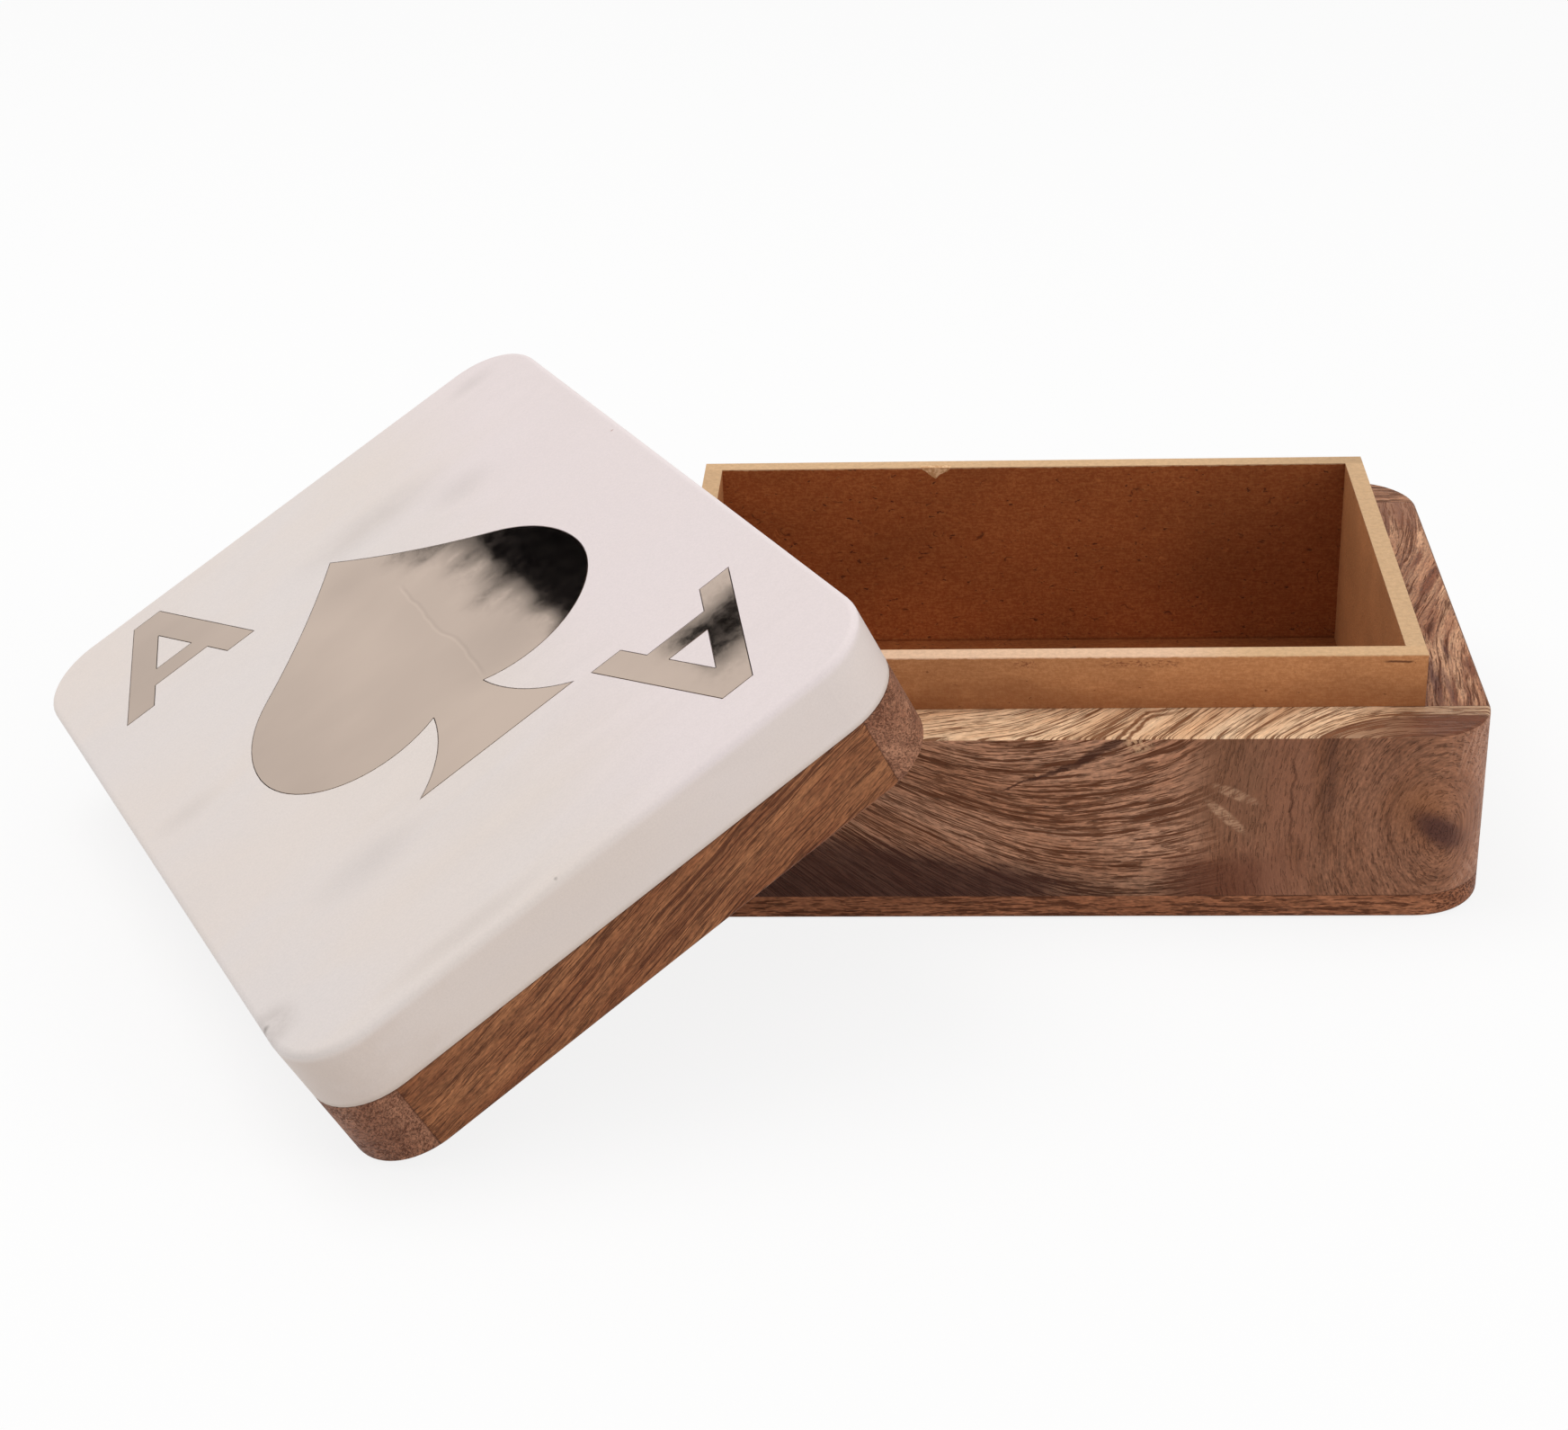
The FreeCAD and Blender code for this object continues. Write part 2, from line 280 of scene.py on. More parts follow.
# Bands are a saw wave of the across distance, bent by noise. Lines, dashes and fibres are noise
# drawn out along the grain; lines and dashes are what rises above a bar, so they stay thin.
def makeWoodGrain():
    inputs = {
        "Along": 0, "Across": 0, "Depth": 0, "Seed": 0, "Bend": 2,
        "Band Width": 4, "Band Strength": 0.5, "Streak Strength": 0.5, "Fibre Strength": 0.5,
        "Line Length": 10, "Line Share": 0.5, "Line Strength": 0.8,
        "Dash Length": 3, "Dash Share": 0.4, "Dash Strength": 0.7,
        "Pale": (0.5, 0.3, 0.18), "Middle": (0.3, 0.16, 0.09), "Dark": (0.12, 0.06, 0.035),
        "Pore": (0.05, 0.022, 0.014),
    }
    group, given, out = newGroup("woodGrain", inputs, ["Colour", "Roughness", "Height"])
    s = grainNoise
    depth = timesPlus(given["Seed"], s["seedStep"], given["Depth"])
    place = join(given["Along"], given["Across"], depth)
    slow = minus(noise(place, s["slowBend"]), 0.5)
    quick = minus(noise(place, s["quickBend"]), 0.5)
    across = timesPlus(timesPlus(quick, 0.3, slow), given["Bend"], given["Across"])
    bent = join(given["Along"], across, depth)

    # pale and dark growth bands
    turns = calc("DIVIDE", across, given["Band Width"])
    turns = timesPlus(noise(place, s["bandWander"], 1), 2.2, turns)
    band = between(calc("FRACT", turns), 0.2, 0.9, 0.9, 1)
    kept = rise(noise(bent, s["bandPatch"]), 0.35, 0.65)
    band = times(band, kept, given["Band Strength"])
    cloud = noise(bent, s["cloud"], 4, 0.6)
    colour = mixColour(rise(cloud, 0.34, 0.66), given["Middle"], given["Pale"])
    streak = noise(bent, s["streak"], 4, 0.62, (3.1, 7.7, 1.3))
    streak = times(rise(streak, 0.45, 0.68), given["Streak Strength"])
    colour = mixColour(greater(band, streak), colour, given["Dark"])

    # fine fibres
    fibre = minus(noise(bent, s["fibre"], 4, 0.75), 0.5)
    grit = minus(noise(bent, s["grit"], 1.5), 0.5)
    fine = timesPlus(grit, 0.7, fibre)
    colour = tint(colour, timesPlus(fine, given["Fibre Strength"], 1))

    # dark lines and dashes, closer together in places
    crowd = minus(noise(bent, s["crowd"], shift=(9.2, 4.1, 5.5)), 0.5)
    crowd = times(crowd, -0.26)
    masks = []
    for kind, (thin, shift, detail) in s["marks"].items():
        along = calc("DIVIDE", given["Along"], times(given[kind + " Length"], 1.6))
        where = join(plus(along, shift), times(across, thin), times(depth, thin))
        bar = plus(timesPlus(given[kind + " Share"], -0.22, 0.69), crowd)
        mask = rise(minus(noise(where, 1, detail, 0.6), bar), -0.015, 0.04)
        colour = paint(colour, (given[kind + " Strength"], given["Pore"]), mask)
        masks.append(mask)
    line, dash = masks
    groove = greater(times(line, 0.7), dash)

    feed(out["Colour"], colour)
    feed(out["Roughness"], timesPlus(groove, 0.2, timesPlus(fibre, 0.2, 0.5)))
    feed(out["Height"], timesPlus(groove, -0.7, times(fibre, 0.6)))
    return group


# Two layers of short fibres crossing at a slant over a fine speckle, with sparse dark bits and hairs.
def makePressedFibre():
    inputs = {
        "Place": None, "Base": (0.4, 0.16, 0.055), "Light": (0.55, 0.28, 0.12), "Bit": (0.12, 0.035, 0.012),
        "Bit Share": 0.5, "Contrast": 0.5,
    }
    group, given, out = newGroup("pressedFibre", inputs, ["Colour", "Roughness", "Height"])
    place = given["Place"]
    speckle = noise(place, 1.6, 3, 0.7)
    layers = []
    for angle, shift in ((0.5, 0), (-0.42, 31)):
        slanted = turnPlace(place, (angle * 0.7, angle, angle), (0.5, 2.6, 2.6), (shift,) * 3)
        layers.append(noise(slanted, 1, 2, 0.6))
    fine = plus(times(speckle, 0.55), times(greater(*layers), 0.45))
    share = times(rise(fine, 0.42, 0.66), given["Contrast"])
    colour = mixColour(share, given["Base"], given["Light"])
    cloud = noise(place, (0.035, 0.05, 0.05), 3)
    colour = tint(colour, rise(cloud, 0.25, 0.75, 0.86, 1.12))
    speck = noise(place, (0.55, 1.1, 1.1), 2, 0.65, (5, 2, 8))
    bar = timesPlus(given["Bit Share"], -0.12, 0.76)
    bits = rise(minus(speck, bar), 0, 0.04)
    colour = paint(colour, (0.75, given["Bit"]), bits)
    curl = noise(place, (0.12, 0.2, 0.2), 2, 0.6, (3, 7, 1), 0.3)
    sparse = rise(noise(place, (0.3, 0.34, 0.34), 1, shift=(8, 1, 5)), 0.62, 0.68)
    sparse = times(sparse, rise(given["Bit Share"], 0.3, 0.7, 0.1, 1))
    for level, coat in ((0.45, (0.7, given["Bit"])), (0.54, (0.5, tint(given["Light"], 1.3)))):
        colour = paint(colour, coat, near(curl, level, 0, 0.016), sparse)
    feed(out["Colour"], colour)
    feed(out["Roughness"], rise(speckle, 0.3, 0.7, 0.62, 0.78))
    feed(out["Height"], timesPlus(bits, -0.6, times(fine, 0.8)))
    return group


softSpot = makeSpot()
woodGrain = makeWoodGrain()
pressedFibre = makePressedFibre()


def spot(place, centre, reach):
    return useGroup(softSpot, Place=place, Centre=centre, Reach=reach)["Mask"]


# Distance from a centre, with the second way squeezed, and the angle round it.
def ringAround(x, y, centre, squeeze):
    dx = minus(x, centre[0])
    dy = calc("DIVIDE", minus(y, centre[1]), squeeze)
    far = calc("SQRT", plus(times(dx, dx), times(dy, dy)))
    return far, calc("ARCTAN2", dx, dy)


# A wood's settings as the group's inputs. Bands are width and strength; lines and dashes are
# length, share and strength; tones are pale, middle, dark and pore.
def grainInputs(wood):
    inputs = {"Seed": wood["seed"], "Bend": wood["bend"]}
    inputs.update({"StreakStrength": wood["streaks"], "FibreStrength": wood["fibres"]})
    inputs.update(zip(("BandWidth", "BandStrength"), wood["bands"]))
    inputs.update(zip(("LineLength", "LineShare", "LineStrength"), wood["lines"]))
    inputs.update(zip(("DashLength", "DashShare", "DashStrength"), wood["dashes"]))
    inputs.update(zip(("Pale", "Middle", "Dark", "Pore"), wood["tones"]))
    return inputs


# The second wood's inputs where the share is 1, and the first's elsewhere.
def mixInputs(share, first, second):
    mixed = {}
    for name, value in first.items():
        mix = mixColour if isinstance(value, tuple) else mixValue
        mixed[name] = value if value == second[name] else mix(share, value, second[name])
    return mixed


boxSeam = {"width": 0.16, "coat": (0.55, (0.04, 0.016, 0.01)), "frontCoat": (0.6, (0.04, 0.016, 0.01))}


# 1 on a joint between two boards, 0 away from it.
def jointLine(value, line, width=boxSeam["width"]):
    return near(value, line, 0, width)


print("shared effects built")


# Front wall: figured wood. On the left the grain hangs in bowls that lean over to the left as they
# rise; on the right it stands upright and closes round a knot. Places are x and z on the face, and x
# and the distance inwards on the rim. A coat is a share and a colour.

frontWall = {
    # bowls: their lowest point is at start + lean z + leanMore z squared, and they are narrower on the left
    "bowlStart": 17, "bowlLean": -0.48, "bowlLeanMore": -0.006, "bowlLeft": 0.016, "bowlRight": 0.006,
    # the upright grain takes over between two places; its rings round the knot are drawn out
    # upwards, and run on by so much for each radian
    "meet": (29, 44), "knotStretch": 1.5, "knotRun": 8,
    # rim: the grain climbs inwards between two places along the wall, by this much; beyond the last
    # line it is brown, with a larger share of dark lines
    "climbs": [(-60, 10, 12), (-10, 66, 66)], "brownFrom": 69.7, "brownLines": 0.9,
    "bowls": {
        "seed": 1, "bend": 2.2, "bands": (5.5, 0.25), "streaks": 0.28, "fibres": 2,
        "lines": (8, 0.62, 0.92), "dashes": (2.6, 0.5, 0.65),
        "tones": [(0.52, 0.27, 0.165), (0.37, 0.165, 0.09), (0.21, 0.076, 0.032), (0.11, 0.034, 0.013)],
    },
    "rim": {
        "seed": 1, "bend": 1.6, "bands": (5.5, 0.25), "streaks": 0.3, "fibres": 1.2,
        "lines": (6, 0.62, 0.92), "dashes": (2.6, 0.3, 0.65),
        "tones": [(0.92, 0.64, 0.41), (0.74, 0.44, 0.25), (0.48, 0.23, 0.105), (0.2, 0.075, 0.03)],
    },
    "upright": {
        "seed": 3, "bend": 2.2, "bands": (4.5, 0.3), "streaks": 0.3, "fibres": 1.7,
        "lines": (4, 0.1, 0.4), "dashes": (2.2, 0.3, 0.35),
        "tones": [(0.28, 0.125, 0.07), (0.19, 0.074, 0.035), (0.11, 0.038, 0.018), (0.06, 0.018, 0.008)],
    },
    # patches: rise and fall along the wall, and coat
    "smooth": ((22, 31, 38, 43), (0.55, (0.2, 0.088, 0.046))),
    "reddish": ((18, 28, 40, 50), (0.7, (0.132, 0.04, 0.02))),
    "pinkish": ((37, 43, 48, 50.5), (0.5, (0.34, 0.15, 0.088))),
    # band: x at the foot, lean, half width, coat; thread: x, wander, half width, coat; shade: coat
    "band": (50.6, 0.04, 2.6, (0.5, (0.1, 0.04, 0.024))),
    "thread": (43.4, 3.4, 0.5, (0.6, (0.06, 0.018, 0.008))),
    "shade": (0.85, (0.058, 0.019, 0.013)),
    # two paler streaks: middle, half length, slope and share
    "flecks": [((34.6, 26.5), 6.6, 0.43, 0.75), ((33, 21.8), 7, 0.75, 1)],
    "fleckColour": (0.47, 0.265, 0.16), "fleckReach": (1.5, 3),
    # knot: the glow's centre and reach, and the heart drawn out on a slant, with its cosine and sine
    "knot": (73, 18), "glow": ((68.5, -60.7, 24), (9, 30, 8)),
    "glowCoat": (0.5, (0.27, 0.1, 0.036)), "slant": (0.78, 0.62),
    "heart": (12, 30, 4.6), "heartCoat": (0.85, (0.065, 0.023, 0.018)),
    # ring: centre, squeeze, radius, half width and coat
    "ring": ((71, 20), 1.15, 9.3, 0.6, (0.4, (0.06, 0.018, 0.008))),
    "corner": (0.3, (0.4, 0.19, 0.12)), "rays": (0.45, (0.5, 0.27, 0.18)),
    # crack on the face, torn place beside its top end with its reach, and crack across the rim
    "crack": [(-7, 28.3), (5.2, 32.9), (14.6, 38.8)], "crackCoat": (0.85, (0.06, 0.018, 0.009)),
    "torn": (16.6, 37.4), "tornReach": (3.6, 3, 3), "tornCoat": (0.7, (0.74, 0.44, 0.25)),
    "rimCrack": [(13.6, 0), (19, 9.2), (32, 14.5)], "rimCrackCoat": (0.9, (0.2, 0.075, 0.03)),
    "brown": (0.72, (0.21, 0.083, 0.042)), "brownEdge": (0.45, (0.15, 0.055, 0.03)),
    "rimEnd": (0.8, (0.15, 0.052, 0.03)),
    "finish": {"depth": 0.0003, "specular": 0.12},
}


# How far a place is from the straight line through two points.
def lineAway(x, other, a, b):
    dx, dy = b[0] - a[0], b[1] - a[1]
    long = math.hypot(dx, dy)
    side = timesPlus(x, -dy / long, (a[0] * dy - a[1] * dx) / long)
    return timesPlus(other, dx / long, side)


# How far a place is from a path of two straight lines through three points.
def pathAway(x, other, points, ease):
    start, turning, end = points
    turned = rise(x, turning[0] - ease, turning[0] + ease)
    before, after = lineAway(x, other, start, turning), lineAway(x, other, turning, end)
    return mixValue(turned, before, after)


# Two values turned against each other, by the cosine and sine of the turn.
def turnPair(a, b, cosine, sine):
    first = timesPlus(b, -sine, times(a, cosine))
    return first, timesPlus(b, cosine, times(a, sine))


# The place on the front wall and its masks, which the functions below share.
def readFrontWall():
    s = frontWall
    place = placeInBox()
    x, y, z = split(place)
    at = {"place": place, "x": x, "y": y, "z": z, "inward": minus(y, boxSize["frontFace"])}
    at["top"] = calc("GREATER_THAN", z, boxSize["rimTop"] - 0.35)
    at["face"] = minus(1, at["top"])
    at["patch"] = noise(place, 0.09, 3, shift=(4, 0, 2))
    at["far"], at["turn"] = ringAround(x, z, s["knot"], s["knotStretch"])
    # rim: straight across at both ends, climbing between
    across = at["inward"]
    for start, end, much in s["climbs"]:
        across = minus(across, rise(x, start, end, 0, much))
    at["rimAcross"] = across
    at["lastLine"] = timesPlus(at["patch"], 3, plus(across, s["brownFrom"]))
    at["brown"] = times(fall(at["lastLine"], 0.4, 1.8), at["top"])
    return at


# Bowls are the height above a parabola whose lowest point moves with the height.
def bowlHeight(x, z):
    s = frontWall
    lowest = timesPlus(timesPlus(z, s["bowlLeanMore"], s["bowlLean"]), z, s["bowlStart"])
    aside = minus(x, lowest)
    width = mixValue(rise(aside, -4, 4), s["bowlLeft"], s["bowlRight"])
    return minus(z, times(aside, aside, width))


# The bowls and rim on the left and the upright grain on the right: colour, height and roughness,
# and the height of the bowls alone.
def frontGrain(at):
    s = frontWall
    x, z, top, patch = (at[k] for k in ("x", "z", "top", "patch"))
    depth = times(mixValue(top, at["inward"], 0), 0.6)
    inputs = mixInputs(top, grainInputs(s["bowls"]), grainInputs(s["rim"]))
    inputs["LineShare"] = mixValue(at["brown"], s["bowls"]["lines"][1], s["brownLines"])
    across = mixValue(top, bowlHeight(x, z), at["rimAcross"])
    bowls = useGroup(woodGrain, Along=x, Across=across, Depth=depth, **inputs)
    along = timesPlus(at["turn"], s["knotRun"], z)
    inputs = grainInputs(s["upright"])
    upright = useGroup(woodGrain, Along=along, Across=at["far"], Depth=depth, **inputs)
    meet = times(rise(timesPlus(patch, 14, x), *s["meet"]), at["face"])
    shadeLow = greater(rise(timesPlus(patch, 8, z), 9, 20, 0.6, 1), top)
    colour = mixColour(meet, tint(bowls["Colour"], shadeLow), upright["Colour"])
    height, roughness = (mixValue(meet, bowls[k], upright[k]) for k in ("Height", "Roughness"))
    return colour, height, roughness, bowls["Height"]


def paintPatches(colour, at, grooves):
    s = frontWall
    x, z, face, patch = (at[k] for k in ("x", "z", "face", "patch"))
    limits = {
        "smooth": rise(z, 14, 22),
        "reddish": fall(timesPlus(patch, 10, z), 14, 23),
        "pinkish": rise(patch, 0.3, 0.6, 0.4, 1),
    }
    for name, limit in limits.items():
        ends, coat = s[name]
        colour = paint(colour, coat, between(x, *ends), limit, face)
    # a dark band and a thin thread that stand almost upright
    middle, lean, half, coat = s["band"]
    band = times(near(timesPlus(z, -lean, x), middle, 0, half), rise(z, 9, 24, 0.2, 1))
    colour = paint(colour, coat, band, face)
    start, wander, half, coat = s["thread"]
    middle = timesPlus(noise(at["place"], (0, 0, 0.28)), wander, start)
    thread = times(near(x, middle, 0, half), rise(z, 14, 17), fall(z, 31, 35, 1, 0.3))
    colour = paint(colour, coat, thread, face)
    # painted shadow of the leaning lid, partly darker wood: dark low on the left, with a ragged edge
    ragged = timesPlus(grooves, 1.5, timesPlus(x, 0.2, z))
    shade = times(fall(ragged, 7, 13), fall(timesPlus(patch, 20, x), 4, 26))
    return paint(colour, s["shade"], shade, face)


# Each pale streak is a long spot with ribs across it.
def paintFlecks(colour, at):
    s = frontWall
    for centre, half, slant, share in s["flecks"]:
        dx, dz = minus(at["x"], centre[0]), minus(at["z"], centre[1])
        run, side = turnPair(dx, dz, math.cos(slant), math.sin(slant))
        fleck = spot(join(run, side, at["inward"]), (0, 0, 0), (half, *s["fleckReach"]))
        ribPlace = timesPlus(side, -1.1, times(run, 1.7))
        ribs = noise(join(ribPlace, times(side, 0.5), half))
        ribs = rise(ribs, 0.38, 0.62, 0.1 * share, share)
        colour = paint(colour, (ribs, s["fleckColour"]), rise(fleck, 0, 0.5))
    return colour


# An orange glow above a dark heart, one thin ring, and light rays on the corner beyond.
def paintKnot(colour, at):
    s = frontWall
    x, z, face, far = (at[k] for k in ("x", "z", "face", "far"))
    cosine, sine = s["slant"]
    knotX, knotZ = s["knot"]
    colour = paint(colour, s["glowCoat"], spot(at["place"], *s["glow"]))
    run, side = turnPair(x, z, cosine, sine)
    centre = (knotX * cosine - knotZ * sine, 3, knotX * sine + knotZ * cosine)
    heart = spot(join(run, at["inward"], side), centre, s["heart"])
    colour = paint(colour, s["heartCoat"], rise(heart, 0, 0.85))
    centre, squeeze, radius, half, coat = s["ring"]
    ringFar = timesPlus(at["patch"], 2, ringAround(x, z, centre, squeeze)[0])
    ring = times(near(ringFar, radius, 0, half), fall(x, 64, 71))
    colour = paint(colour, coat, ring, face)
    colour = paint(colour, s["corner"], rise(x, 73, 80), face)
    rayPlace = (times(at["turn"], 22), times(far, 0.3), times(at["inward"], 0.3))
    ray = rise(noise(join(*rayPlace), 1, 2, 0.6), 0.48, 0.6)
    outside = times(rise(x, 72, 78), rise(far, 5, 11))
    return paint(colour, s["rays"], outside, ray, face)


# A crack that runs up to the rim, with a torn place at its end, and goes on as a double line.
def paintCracks(colour, at):
    s = frontWall
    place, x, face = at["place"], at["x"], at["face"]
    low, high = s["crack"][0][0], s["crack"][2][0]
    waver = times(minus(noise(place, (0.35, 0, 0.35), 3, 0.6), 0.5), 2)
    away = plus(pathAway(x, at["z"], s["crack"], 1.5), waver)
    thick = rise(x, low - 2, high - 2, 0.25, 1.3)
    crack = fall(calc("DIVIDE", calc("ABSOLUTE", away), thick), 0.3, 1)
    crack = times(crack, between(x, low - 3, low, high, high + 2))
    colour = paint(colour, s["crackCoat"], crack, face)
    tornX, tornZ = s["torn"]
    torn = spot(place, (tornX, boxSize["frontFace"], tornZ), s["tornReach"])
    crumbs = rise(noise(place, 1.1, 3, 0.7), 0.4, 0.56)
    colour = paint(colour, s["tornCoat"], rise(torn, 0, 0.5), crumbs, face)
    away = minus(pathAway(x, at["inward"], s["rimCrack"], 2), 0.7)
    away = timesPlus(noise(place, (0.5, 0.5, 0), 3, 0.6), 1.4, away)
    double = near(calc("ABSOLUTE", away), 0.8, 0.2, 0.75)
    last = s["rimCrack"][2][0]
    return paint(colour, s["rimCrackCoat"], double, fall(x, last - 14, last), at["top"])


# Brown beyond the last climbing line, darker at the corner, and the joints with the boards around.
def paintRim(colour, at):
    s = frontWall
    x, top = at["x"], at["top"]
    colour = paint(colour, s["brown"], at["brown"])
    colour = paint(colour, s["brownEdge"], near(at["lastLine"], 1.2, 0, 0.8), top)
    end = times(rise(x, 54, 74), rise(at["inward"], 4, 12, 1, 0.55))
    colour = paint(colour, s["rimEnd"], end, top)
    low = times(jointLine(at["z"], boxSize["baseTop"]), rise(x, 10, 40, 0.15, 0.8))
    seam = greater(low, jointLine(at["y"], boxSize["linerFront"]))
    return paint(colour, boxSeam["frontCoat"], seam)


def makeFrontWood():
    made, shader = newMaterial("frontWallWood")
    at = readFrontWall()
    colour, height, roughness, grooves = frontGrain(at)
    colour = paintPatches(colour, at, grooves)
    for paintMore in (paintFlecks, paintKnot, paintCracks, paintRim):
        colour = paintMore(colour, at)
    finishShader(shader, colour, roughness, height, **frontWall["finish"])
    return made


# Other boards of the box. climb: the grain crosses the board between two places, by this much;
# lean: how far it crosses for each millimetre everywhere. Tones on the rim take the face's place.

plainBoards = {
    "base": {
        "axis": "x", "climb": (-80, 80, 2), "lean": 0, "seed": 5, "bend": 1.5, "streaks": 0.5,
        "bands": (4, 0.3), "fibres": 2, "lines": (4, 0.5, 0.85), "dashes": (2, 0.45, 0.7),
        "tones": [(0.34, 0.135, 0.066), (0.255, 0.092, 0.042), (0.15, 0.049, 0.021), (0.08, 0.024, 0.01)],
        "rimTones": {},
    },
    "side": {
        "axis": "y", "climb": (-24, 36, -11), "lean": 0.1, "seed": 9, "bend": 3.5, "streaks": 1,
        "bands": (2.8, 1), "fibres": 2, "lines": (8, 0.42, 0.8), "dashes": (2.6, 0.16, 0.55),
        "tones": [(0.42, 0.2, 0.115), (0.28, 0.115, 0.057), (0.19, 0.066, 0.031), (0.1, 0.032, 0.015)],
        "rimTones": {"Pale": (0.72, 0.42, 0.25), "Middle": (0.4, 0.185, 0.1)},
        # brown towards the back, and purple streaks on the rim: centre, reach and share
        "backFrom": (30, 44), "backCoat": (0.75, (0.26, 0.11, 0.062)), "purple": (0.11, 0.04, 0.034),
        "streakSpots": [
            ((73.6, -34), (1.3, 22), 0.8), ((75.9, -40), (0.9, 15), 0.65),
            ((77.6, -24), (0.6, 9), 0.6),
        ],
    },
    "back": {
        "axis": "x", "climb": (-60, 70, 16), "lean": 0, "seed": 14, "bend": 4, "streaks": 0.6,
        "bands": (5, 0.5), "fibres": 2, "lines": (10, 0.5, 0.8), "dashes": (3, 0.4, 0.6),
        "tones": [(0.36, 0.165, 0.09), (0.22, 0.086, 0.041), (0.11, 0.038, 0.018), (0.07, 0.021, 0.01)],
        "rimTones": {"Pale": (0.5, 0.26, 0.15), "Middle": (0.34, 0.15, 0.08)},
    },
}
boardFinish = {"depth": 0.0002, "specular": 0.12}


def makeBoardWood(name):
    s = plainBoards[name]
    made, shader = newMaterial(name + "BoardWood")
    place = placeInBox()
    x, y, z = split(place)
    run, depth = (x, y) if s["axis"] == "x" else (y, x)
    start, end, much = s["climb"]
    climb = timesPlus(run, -s["lean"], rise(run, start, end, 0, much))
    top = rise(z, boxSize["rimTop"] - 0.5, boxSize["rimTop"] - 0.05)
    onRim = plus(calc("ABSOLUTE", depth), climb)
    across = mixValue(top, timesPlus(climb, 0.6, z), onRim)
    face = grainInputs(s)
    inputs = mixInputs(top, face, {**face, **s["rimTones"]})
    grain = useGroup(woodGrain, Along=run, Across=across, Depth=mixValue(top, depth, 0), **inputs)
    colour = grain["Colour"]
    if name == "side":
        colour = paint(colour, s["backCoat"], rise(y, *s["backFrom"]), top)
        for centre, reach, share in s["streakSpots"]:
            streak = spot(place, (*centre, boxSize["rimTop"]), (*reach, 3))
            colour = paint(colour, (share, s["purple"]), streak)
    longJoints = jointLine(calc("ABSOLUTE", y), -boxSize["linerFront"])
    seam = greater(jointLine(z, boxSize["baseTop"]), longJoints)
    colour = paint(colour, boxSeam["coat"], seam)
    finishShader(shader, colour, grain["Roughness"], grain["Height"], **boardFinish)
    return made


lidRails = {
    "foot": {
        "axis": "x", "climb": (-75, 75, 26), "seed": 21, "bend": 3, "bands": (6.5, 0.55),
        "streaks": 0.65, "fibres": 2, "lines": (15, 0.5, 0.7), "dashes": (4.5, 0.34, 0.6),
        "tones": [(0.33, 0.135, 0.058), (0.215, 0.076, 0.031), (0.125, 0.038, 0.016), (0.07, 0.02, 0.01)],
    },
    "side": {
        "axis": "y", "climb": (-90, 90, 14), "seed": 26, "bend": 3, "bands": (5, 0.4),
        "streaks": 0.6, "fibres": 2, "lines": (9, 0.45, 0.7), "dashes": (3, 0.4, 0.6),
        "tones": [(0.36, 0.17, 0.1), (0.27, 0.115, 0.065), (0.17, 0.066, 0.037), (0.11, 0.038, 0.02)],
        "endsFrom": (72, 76),
    },
}
# joints under the slab and between the rails
railSeam = {"slab": 0.45, "rails": 0.25, "coat": (0.6, (0.06, 0.02, 0.01))}


def makeRailWood(name):
    s = lidRails[name]
    made, shader = newMaterial(name + "RailWood")
    x, y, z = split(placeInLid())
    run, depth = (x, y) if s["axis"] == "x" else (y, x)
    start, end, much = s["climb"]
    climb = rise(run, start, end, 0, much)
    across = timesPlus(calc("ABSOLUTE", depth), 0.5, minus(z, climb))
    if name == "side":
        # the ends show slanting rings
        ends = rise(calc("ABSOLUTE", y), *s["endsFrom"])
        run = mixValue(ends, run, timesPlus(z, 0.6, depth))
    grain = useGroup(woodGrain, Along=run, Across=across, Depth=depth, **grainInputs(s))
    inner = lidSize["halfWidth"] - lidSize["rail"]
    underSlab = jointLine(z, lidSize["frame"], railSeam["slab"])
    seam = greater(underSlab, jointLine(calc("ABSOLUTE", x), inner, railSeam["rails"]))
    colour = paint(grain["Colour"], railSeam["coat"], seam)
    finishShader(shader, colour, grain["Roughness"], grain["Height"], **boardFinish)
    return made


# Liner and lid panel

fibreBoards = {
    "outer": {
        "fibres": {
            "Base": (0.4, 0.165, 0.062), "Light": (0.54, 0.25, 0.105), "Bit": (0.16, 0.052, 0.017),
            "BitShare": 0.35, "Contrast": 0.7,
        },
        # a short split near the front board's right end: from, to and height
        "split": (61.5, 67, 48), "splitCoat": (0.85, (0.09, 0.03, 0.012)),
        # torn places under the front board's top edge: middle along the board and half length
        "torn": [(-4, 2.6), (17.5, 9.5)], "tornHeight": 47.5, "tornCoat": (0.8, (0.19, 0.06, 0.026)),
        "stain": (0.42, (0.26, 0.08, 0.025)),
    },
    # inner: a darker, redder copy of the fibreboard for the back and the floor, partly a darker board face
    # and partly painted shade of the deep compartment
    "inner": {
        "fibres": {
            "Base": (0.25, 0.062, 0.016), "Light": (0.36, 0.12, 0.036), "Bit": (0.06, 0.014, 0.005),
            "BitShare": 0.7, "Contrast": 0.9,
        },
        # a chip out of the back board's top edge: middle, half width and depth
        "chip": (-20.6, 3.6, 2.6), "chipPale": (0.85, 0.56, 0.32), "chipDark": (0.58, 0.32, 0.15),
    },
    "edge": (0.61, 0.395, 0.22), "frontEdge": (0.76, 0.5, 0.33), "frontEdgeRight": (0.64, 0.405, 0.22),
    "finish": {"depth": 0.00015, "specular": 0.2},
}


